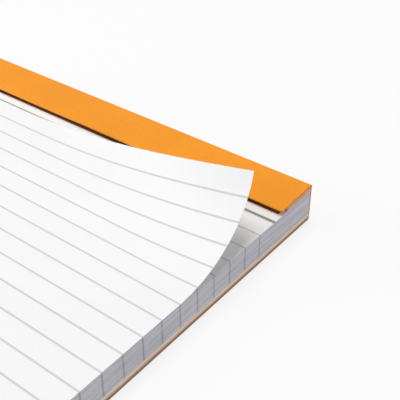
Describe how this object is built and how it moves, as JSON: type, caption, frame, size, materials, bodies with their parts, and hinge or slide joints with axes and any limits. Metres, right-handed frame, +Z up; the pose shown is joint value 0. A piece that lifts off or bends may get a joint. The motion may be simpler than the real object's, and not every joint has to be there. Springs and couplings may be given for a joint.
{
  "type": "ruled notepad",
  "caption": "Head-bound ruled notepad with its card cover folded round to the back and a top sheet torn along the perforation, its corner curling up.",
  "frame": {"origin": "on the table under the middle of the pad", "axes": "+X to the right side of the pad, +Y to its bound head, +Z up from the table through the pages"},
  "size_m": [0.148, 0.21, 0.0311],
  "materials": {
    "cover_card": "orange coated card, satin, with a fine grain",
    "board": "tan board, matt, with fibres showing at the cut edges",
    "page_paper": "smooth white writing paper with grey ruled lines, stacked edges at the sides",
    "sheet_paper": "smooth white writing paper with grey ruled lines",
    "staple_wire": "bright drawn wire"
  },
  "bodies": {
    "root": {"cover": "cover_card", "backing_board": "board", "head_strip": "board", "page_block": "page_paper", "top_sheet": "sheet_paper", "staples": "staple_wire"}
  },
  "joints": []
}
